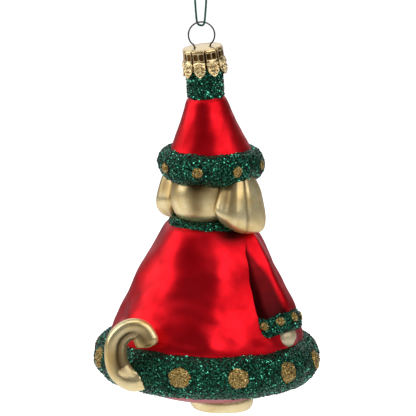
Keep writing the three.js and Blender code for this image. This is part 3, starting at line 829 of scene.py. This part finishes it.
HEM = {"radius": 31, "height": 19.8, "wide": 8, "tall": 7.8}
BRIM = {"radius": 12.8, "height": 0, "wide": 5.5, "tall": 5.5}
COLLAR = {"radius": 11, "height": 67, "wide": 3.2, "tall": 2.4}
for name, node, size, place, counts, flake_count, seed in (
    ("hem", "hem_band", HEM, BODY, (420, 60), 14000, 20),
    ("brim", "brim_band", BRIM, BRIM_SEAT, (260, 56), 5000, 30),
    ("collar_glitter", "collar", COLLAR, BODY, (200, 30), 1500, 40),
):
    part = banded(size, *counts, seed)
    make(name, part, place, green_glitter, [node])
    make_flakes(name + "_flakes", part, flake_count, BAND_FLAKE, place, green_flake, seed + 5, outside(size))

# %% Neck band
NECK_RADIUS, NECK_LOW, NECK_TOP = 6.3, 23.0, 34.6
band_heights = np.linspace(NECK_LOW, NECK_TOP, 50)
band_rows = turned(np.stack([np.full(50, NECK_RADIUS), band_heights], -1), 180)
band_rows = pushed_out(band_rows, 0.1 * ripple(band_rows, 4, 50) + 0.06 * ripple(band_rows, 1.4, 51)
                       - 0.35 * bump(band_rows[..., 2] - NECK_LOW, 0.5))
neck_part = shell(band_rows, 0.5)
make("neck_glitter", neck_part, HAT, green_glitter, ["neck_band"])
make_flakes("neck_flakes", neck_part, 1700, EDGE_FLAKE, HAT, green_flake, 52, facing_away(0))

# %% [markdown]
# ## Gold dots
# A dot is a blob of glue with finer gold glitter in it: domed, with an uneven edge. Its skin is a
# disc in the two directions of the band, along it and over its oval, lifted most in the middle.

# %% Dots on a band
def dot_rows(surface, radius, lift, seed, around=40):
    """Loops of one dot, from its hidden underside to its crown. surface(s, t, offset) gives the
    point s mm along the band, t mm over it and offset mm proud of it. The edge wanders by a few
    hundredths of the radius."""
    rng = np.random.default_rng(seed)
    a = full_turn(around)
    wander = 1 + 0.05 * np.sin(2 * a + rng.uniform(0, 6))
    for times, amount in ((5, 0.035), (9, 0.03)):
        wander = wander + amount * np.sin(times * a + rng.uniform(0, 6))
    share = np.array([0.5, 0.9, 1.0, 1.0, 0.96, 0.88, 0.75, 0.6, 0.42, 0.22])[:, None]
    offset = np.array([-0.5, -0.5, -0.35, 0.12, 0.4, 0.62, 0.8, 0.92, 0.98, 1.0])[:, None] * lift
    offset = offset + (share < 0.97) * (offset > 0) * rng.normal(0, 0.05, (len(share), around))
    reach = radius * share * wander
    return surface(reach * np.cos(a), reach * np.sin(a), offset)


def on_band(size, angle, over=0.0):
    """The surface near one angle of a bulge, for dot_rows, its middle some way over the oval."""
    girth = size["radius"] + size["wide"]
    oval = (size["wide"] + size["tall"]) / 2
    return lambda s, t, offset: oval_band(size, angle + s / girth, (t + over) / oval, offset)


def dot(surface, radius, lift, seed):
    """Points and triangles of one dot."""
    return capped(dot_rows(surface, radius, lift, seed))


def make_dots(name, surfaces, radius, lift, nodes, place, flakes_each, seed):
    """All the dots of one band as a piece, and their flakes as another."""
    dots = [dot(surface, radius, lift, seed + i) for i, surface in enumerate(surfaces)]
    make(name, joined(dots), place, gold_glitter, nodes)
    make_flakes(name + "_flakes", joined(dots), flakes_each * len(dots), DOT_FLAKE, place, gold_flake, seed + 50,
                None, tip=0.6)


HEM_DOTS = 12
BRIM_DOTS = 8
hem_angles = np.pi / 2 + 2 * np.pi * np.arange(1, HEM_DOTS) / HEM_DOTS
brim_angles = math.radians(74.5) + 2 * np.pi * np.arange(BRIM_DOTS) / BRIM_DOTS
make_dots("hem_dots", [on_band(HEM, a, 1.1) for a in hem_angles], 3.7, 0.7,
          numbered("hem_dot", HEM_DOTS - 1), BODY, 260, 60)
make_dots("brim_dots", [on_band(BRIM, a) for a in brim_angles], 1.8, 0.5,
          numbered("brim_dot", BRIM_DOTS), BRIM_SEAT, 80, 70)

# %% [markdown]
# ## Arms
# Each arm lies down the side of the robe: a sleeve that widens towards a cuff, a rolled cuff with
# four dots, and a paw under it. The sleeve's section is an oval flattened against the body. The
# frame of an arm stands on its cuff, with +Z along the sleeve and +X away from the body.

# %% Sleeves, cuffs and paws
SHOULDER = np.array([15.6, -2.6, 63.4])
CUFF_CENTRE = np.array([28.4, -4.6, 35.6])
SLEEVE_WIDE = 9.4
ARM_FLATNESS = 0.6
CUFF_HEIGHT = 8
CUFF_PROUD = 0.9
PAW = (3.4, 4.4, 4.2)
PAW_DROP = 5.1
PAW_FORWARD = 1.6
TOE_STEP = 4.1
CUFF_DOTS = 4
CUFF_DOT_STEP = math.radians(40)
HANDS = ((-1, "right"), (1, "left"))


def arm_frame(side):
    """The frame of one arm, +Z from the cuff to the shoulder and +Y square to it along the body, and
    the arm's length."""
    wrist, shoulder = CUFF_CENTRE * [side, 1, 1], SHOULDER * [side, 1, 1]
    length = np.linalg.norm(shoulder - wrist)
    up = (shoulder - wrist) / length
    along = np.cross(up, [side, 0, 0])
    along /= np.linalg.norm(along)
    return inside(BODY, np.stack([np.cross(along, up), along, up], -1), wrist), length


def flattened(profile, around, power=2.3):
    """Loops round +Z from a profile of half-width and height, on a rounded-off oval: the shares of
    the two half-widths, each to that power, add up to one. The other half-width is flattened."""
    angle = full_turn(around)
    half, height = np.asarray(profile, float).T
    cosine, sine = np.cos(angle), np.sin(angle)
    reach = (np.abs(cosine) ** power + np.abs(sine) ** power) ** (-1 / power)
    return np.stack([
        half[:, None] * ARM_FLATNESS * reach * cosine,
        half[:, None] * reach * sine,
        np.repeat(height[:, None], around, 1),
    ], -1)


def cuff_surface(angle, height, offset=0.0):
    """The outside of a cuff, at an angle round it and a height on it: an oval, rounded over at both
    edges."""
    share = np.clip(np.abs(height) / (CUFF_HEIGHT / 2), 0, 1)
    half = (SLEEVE_WIDE + CUFF_PROUD) * (1 - 0.13 * share ** 3) + offset
    flat = (SLEEVE_WIDE + CUFF_PROUD) * ARM_FLATNESS * (1 - 0.2 * share ** 3) + offset
    angle, height, half, flat = np.broadcast_arrays(angle, height, half, flat)
    return np.stack([flat * np.cos(angle), half * np.sin(angle), height], -1)


for side, hand in HANDS:
    place, arm_length = arm_frame(side)
    profile = smooth_line([
        (SLEEVE_WIDE - 0.6, 0.5), (SLEEVE_WIDE, 3.2), (SLEEVE_WIDE - 0.4, 8), (8, 13.5), (6.9, 19.5),
        (5.4, arm_length - 3), (4.1, arm_length + 0.4), (2.2, arm_length + 1.8), (0.4, arm_length + 2.1),
    ], 90)
    rows = flattened(profile, 110)
    # how far to the back a point lies: 1 at the back edge, -1 at the front one
    behind = side * rows[..., 1] / np.maximum(profile[:, 0][:, None], 1)
    rows = pushed_out(rows, 0.12 * ripple(rows, 9, 80 + side))
    rows[..., 0] += 1.1 * bump(behind + 0.12, 0.35) * fade(rows[..., 2], 6) * (rows[..., 0] > 0)
    sleeve = make(f"sleeve_{hand}_glass", capped(rows), place, red_lacquer, [f"sleeve_{hand}"])
    # painted shade on the back flank, widening towards the cuff
    height = fade(rows[..., 2], arm_length)
    shade_edge = -0.32 + 0.95 * height ** 1.2 + 0.1 * np.sin(9 * height)
    flank_shade = fade(behind - shade_edge, 0.22) * (1 - 0.25 * height)
    store(sleeve, "painted_shade", 0.97 * flank_shade)

    levels = np.linspace(-CUFF_HEIGHT / 2, CUFF_HEIGHT / 2, 34)[:, None]
    cuff_rows = cuff_surface(full_turn(150), levels)
    lumps = 0.14 * ripple(cuff_rows, 5, 84 + side) + 0.08 * ripple(cuff_rows, 1.5, 88 + side)
    part = shell(pushed_out(cuff_rows, lumps), 2)
    make(f"cuff_{hand}_glitter", part, place, green_glitter, [f"cuff_{hand}"])
    make_flakes(f"cuff_{hand}_flakes", part, 1500, EDGE_FLAKE, place, green_flake, 90 + side, facing_away(-0.5))

    girth = (SLEEVE_WIDE + CUFF_PROUD) * 0.85
    dot_angles = (np.arange(CUFF_DOTS) - (CUFF_DOTS - 1) / 2) * CUFF_DOT_STEP
    surfaces = [lambda s, t, offset, a=a: cuff_surface(a + s / girth, t, offset) for a in dot_angles]
    make_dots(f"cuff_dots_{hand}", surfaces, 1.55, 0.5, numbered(f"cuff_dot_{hand}", CUFF_DOTS), place,
              60, 100 + 10 * side)


def ball(radii, centre, rows, around):
    """An oval ball: x, y and z are the sine and cosine of the angle from the pole, times the radii."""
    polar = np.linspace(0, np.pi, rows + 2)[1:-1, None]
    return round_axis(np.sin(polar), full_turn(around), np.cos(polar)) * radii + centre


def squared(unit, power):
    """A unit ball made boxier: in plan and upright, the shares of the half sizes, each to that
    power, add up to one instead of their squares."""
    level, upright_share = unit[..., :2], unit[..., 2:]
    flat = np.linalg.norm(level, axis=-1, keepdims=True)
    plan = np.sign(level) * np.abs(level / flat) ** (2 / power)
    height = np.sign(upright_share) * np.abs(upright_share) ** (2 / power)
    return np.concatenate([plan * flat ** (2 / power), height], -1)


def closed_ball(points):
    """A ball's loops, closed at both poles: each pole carries on the last step to the loop's middle."""
    first, last = points[0].mean(0), points[-1].mean(0)
    return skin(points, first + (first - points[1].mean(0)) * 0.35,
                last + (last - points[-2].mean(0)) * 0.35)


for side, hand in HANDS:
    place, _ = arm_frame(side)
    rows = ball(PAW, [0, -side * PAW_FORWARD, -PAW_DROP], 60, 90)
    between_toes = np.abs(np.sin(rows[..., 1] * np.pi / TOE_STEP)) - 0.6
    rows = pushed_out(rows, 0.45 * between_toes * fade(-PAW_DROP - rows[..., 2], 3))
    make(f"paw_{hand}_glass", closed_ball(rows), place, cream, [f"paw_{hand}"])

# %% [markdown]
# ## Head and ears
# The back of the head is a plain oval. The ears are broad flaps that hang from under the hat: each
# is an oval with an upright groove behind its thick outer roll, and a lower edge that turns out.
# They are balls whose radius is changed by a few smooth ridges and grooves.

# %% Head, ears and face
HEAD = (11.5, 11.5, 13)
HEAD_CENTRE = np.array([0, 2.7, 77.4])
MUZZLE = (6.5, 9, 5.6)
MUZZLE_CENTRE = np.array([0, -12, 74.9])
EAR = np.array([6.8, 9.8, 10.9])
EAR_CENTRE = np.array([13.7, -0.3, 77.1])

head_rows = ball(HEAD, HEAD_CENTRE, 100, 160)
head_rows = pushed_out(head_rows - HEAD_CENTRE, 0.2 * ripple(head_rows, 12, 120)) + HEAD_CENTRE
muzzle_rows = ball(MUZZLE, MUZZLE_CENTRE, 60, 90)
x, y, z = np.moveaxis(muzzle_rows, -1, 0)
cheeks = 0.7 * bump(np.abs(x) - 3, 2) * fade(-12 - y, 6)
parting = 0.8 * bump(x, 0.7) * fade(-15 - y, 4) * (z < 75.4)
muzzle_rows = muzzle_rows + np.stack([0 * cheeks, parting - cheeks, -0.4 * cheeks], -1)
head = make("head_glass", joined([closed_ball(head_rows), closed_ball(muzzle_rows)]), BODY, pearl_gold,
            ["head"])

# painted shade behind each ear, under the hat and in one patch left of the middle
x, y, z = np.moveaxis(head_rows, -1, 0)
from_back = np.arctan2(np.abs(x), y - HEAD_CENTRE[1])
round_head = np.arctan2(x, y - HEAD_CENTRE[1])
head_shade = 0.9 * bump(from_back - 1.35, 0.22) + 0.8 * fade(z - 80, 4)
head_shade = head_shade + 0.75 * bump(round_head + 0.5, 0.28) * fade(z - 68, 6)
store(head, "painted_shade", np.clip(head_shade, 0, 1))

for side, hand in HANDS:
    centre = EAR_CENTRE * [side, 1, 1]
    unit = ball((1, 1, 1), (0, 0, 0), 110, 170)
    round_ear = np.arctan2(unit[..., 0] * side, unit[..., 1])  # 0 backwards, 90 degrees outwards
    unit = squared(unit, 2.45)
    z = unit[..., 2]
    waist = np.clip(1.2 - np.abs(z), 0, 1) ** 0.5
    groove = 0.05 * bump(round_ear - 1.35, 0.07) + 0.09 * bump(round_ear - 0.15, 0.4)
    roll = 0.05 * bump(round_ear - 1.65, 0.25) + 0.03 * bump(round_ear - 1.0, 0.3)
    flare = 0.2 * fade(0.1 - z, 1.0) ** 1.5 * bump(round_ear - 1.9, 1.0)
    share = (1 + (roll - groove) * waist + flare) * (0.92 - 0.28 * z)
    lower = np.clip(0.2 - z, 0, 1) ** 1.2
    lift = 3 * lower * np.cos(round_ear + 0.75) * np.linalg.norm(unit[..., :2], axis=-1)
    rows = unit * np.stack([share, share, np.ones_like(share)], -1) * EAR + centre
    rows[..., 2] += lift
    ear = make(f"ear_{hand}_glass", closed_ball(rows), BODY, pearl_gold, [f"ear_{hand}"])
    # painted shade: brown on the upper inner face, a dark line in the groove, and darker at the top under the
    # hat
    ear_shade = 0.7 * bump(round_ear - 0.15, 0.36) * bump(z - 0.2, 0.5) + 0.5 * bump(round_ear - 1.35, 0.06)
    ear_shade = ear_shade + 0.5 * fade(z - 0.35, 0.4)
    store(ear, "painted_shade", np.clip(ear_shade, 0, 1))

EYE = (1.5, 1.2, 1.9)
NOSE = (2.3, 1.6, 1.7)
NOSE_CENTRE = [0, -20.4, 77.3]
for side, hand in HANDS:
    eye = ball(EYE, (4.4 * side, -7.6, 81.1), 24, 36)
    make(f"eye_{hand}_enamel", closed_ball(eye), BODY, enamel, [f"eye_{hand}"])
nose_rows = ball(NOSE, NOSE_CENTRE, 30, 44)
nose_rows = pushed_out(nose_rows - NOSE_CENTRE, 0.25 * bump(nose_rows[..., 2] - 78.2, 0.9)) + NOSE_CENTRE
make("nose_enamel", closed_ball(nose_rows), BODY, enamel, ["nose"])

# %% [markdown]
# ## The tail
# The tail comes out from under the hem, curls up over it and turns back down to a point. It was
# pulled from the glass as a flat ribbon, so its section is an oval with a hollow along its inner
# side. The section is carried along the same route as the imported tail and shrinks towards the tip.

# %% Tail
TAIL_RADIUS = 4.6
TAIL_ROUTE = [
    (-6, 31, 19), (-3.4, 34.2, 18.4), (-1.6, 38.4, 18), (0.6, 42, 21.2), (1.5, 43.2, 26.4), (1.1, 42.7, 31.8),
    (-1.1, 39.9, 35), (-4.2, 37.4, 35), (-6.4, 36.2, 31.4), (-7, 35.8, 29.6),
]
TAIL_MIDDLE = np.array([-4, 38, 25])  # what the tail curls round
tail_line = smooth_line(TAIL_ROUTE, 170)
along = np.linspace(0, 1, len(tail_line))[:, None]
pointed = 1 - 0.92 * fade(along - 0.86, 0.14) ** 2.4
thickness = TAIL_RADIUS * (1 - 0.12 * np.sin(2.6 * along)) * pointed
tail_rows = swept(tail_line, np.repeat(thickness, 80, 1), 80)
outward = tail_rows - tail_line[:, None]
outward /= np.linalg.norm(outward, axis=-1, keepdims=True)
hollow_side = TAIL_MIDDLE - tail_line + 18 * np.array([-0.8, 0.55, 0.1])  # inwards, and to the left
hollow_side /= np.linalg.norm(hollow_side, axis=1)[:, None]
facing = fade((outward * hollow_side[:, None]).sum(-1) - 0.1, 0.9)
hollow = 0.62 * facing ** 1.3 * fade(along - 0.2, 0.15) * fade(1 - along, 0.08)
tail_rows = tail_line[:, None] + (tail_rows - tail_line[:, None]) * (1 - hollow)[..., None]
tail = make("tail_glass", skin(tail_rows, tail_line[0], tail_rows[-1].mean(0)), BODY, pearl_gold, ["tail"])
# painted shade in the hollow along the tail's inner side
store(tail, "painted_shade", np.clip(hollow * 1.5, 0, 0.9))

# %% [markdown]
# ## Underside and feet
# The robe is closed below by a shallow dish of red glass. In its middle stand the dog's feet, one
# gold lobe with two rounded toes, flat where it would stand.

# %% Underside and feet
UNDERSIDE = [
    (1.02, 0.06), (0.97, -0.02), (0.86, -0.3), (0.65, -0.7), (0.4, -0.98), (0.18, -1.02), (0.02, -1.02),
]  # in shares of the rim's radius and the depth
RIM_RADIUS, RIM_HEIGHT, UNDERSIDE_DEPTH = 30.7, 12, 6.1
dish = smooth_line(np.array(UNDERSIDE) * [RIM_RADIUS, UNDERSIDE_DEPTH] + [0, RIM_HEIGHT], 70)
rows = turned(dish, 180)
rows[..., 2] += 0.12 * ripple(rows, 11, 140)
upper = rows[::-1] + [0, 0, WALL]
underside = make("underside_glass", skin(np.concatenate([rows, upper]), ring=True), BODY, red_lacquer,
                 ["underside"])
# painted shade over the whole underside, which faces down
store(underside, "painted_shade", np.full(rows.shape[:2], 0.3))

TOE = (6, 8.5, 5.5)
lobes = []
for radii, centre in (((9.5, 7.5, 5.5), (0, -4.1, 3)), (TOE, (-5, -8.1, 3)), (TOE, (5, -8.1, 3))):
    rows = ball(radii, centre, 60, 100)
    rows[..., 2] = np.maximum(rows[..., 2], 0.25 * np.exp(np.minimum(rows[..., 2], 0)) - 0.2)
    lobes.append(closed_ball(rows))
make("feet_glass", joined(lobes), BODY, pearl_gold, ["feet"])

# %% [markdown]
# ## Floor and light
# The floor is wide and pale, and a hand's breadth or two below, so that the object hangs clear of
# its shadow. Two tall soft boxes stand left and right, with a dark gap between them that draws the
# narrow dark reflections on the red, and a wide one hangs above.

# %% Floor
floor_material, tree, shader, place = new_material("pale_floor", (0.9, 0.9, 0.9, 1))
haze = noise(tree, place, 3.0, 1.0)
seen = add_node(tree, "ShaderNodeLightPath").outputs["Is Camera Ray"]
glow = add_node(tree, "ShaderNodeMath", {0: seen, 1: 0.75, 2: 0.15}, operation="MULTIPLY_ADD")
feed(tree, shader, {
    "Base Color": mixed(tree, haze, (0.9, 0.9, 0.9, 1), (0.93, 0.93, 0.93, 1)),
    "Roughness": 0.8, "Emission Color": (1, 1, 1, 1), "Emission Strength": glow.outputs[0],
})
FLOOR_RADIUS, FLOOR_DEPTH = 6.0, -0.42
mesh = bpy.data.meshes.new("floor")
mesh.from_pydata(round_axis(FLOOR_RADIUS, full_turn(96), FLOOR_DEPTH).tolist(), [], [list(range(96))])
mesh.materials.append(floor_material)
floor = bpy.data.objects.new("floor", mesh)
bpy.context.scene.collection.objects.link(floor)

# %% Lights
centre = Vector(AIM)
view_right = Vector((math.cos(VIEW_AZIMUTH), math.sin(VIEW_AZIMUTH), 0))
view_back = Vector((math.sin(VIEW_AZIMUTH), -math.cos(VIEW_AZIMUTH), 0))


def soft_box(name, right, back, up, width, height, power, colour=(1, 1, 1)):
    """A rectangular light that faces the object, placed by metres to the right of the camera's line,
    towards the camera, and up."""
    data = bpy.data.lights.new(name, "AREA")
    data.shape, data.size, data.size_y, data.energy, data.color = "RECTANGLE", width, height, power, colour
    light = bpy.data.objects.new(name, data)
    bpy.context.scene.collection.objects.link(light)
    light.location = centre + view_right * right + view_back * back + Vector((0, 0, up))
    light.rotation_mode = "QUATERNION"
    light.rotation_quaternion = (light.location - centre).to_track_quat("Z", "Y")
    return light


soft_box("left_box", -1.2, -0.1, 0.7, 1.3, 1.5, 11)
soft_box("right_box", 0.9, 0.8, 0.85, 1.5, 1.2, 11)
soft_box("top_box", 0, -0.1, 1.5, 1.3, 1.3, 10)
soft_box("back_box", 0, -1.6, 0.6, 2.6, 1.2, 8)
world = bpy.data.worlds.new("studio")
world.use_nodes = True
world.node_tree.nodes["Background"].inputs["Color"].default_value = (0.8, 0.82, 0.85, 1)
world.node_tree.nodes["Background"].inputs["Strength"].default_value = 0.1
bpy.context.scene.world = world
bpy.context.scene.view_settings.view_transform = "Standard"
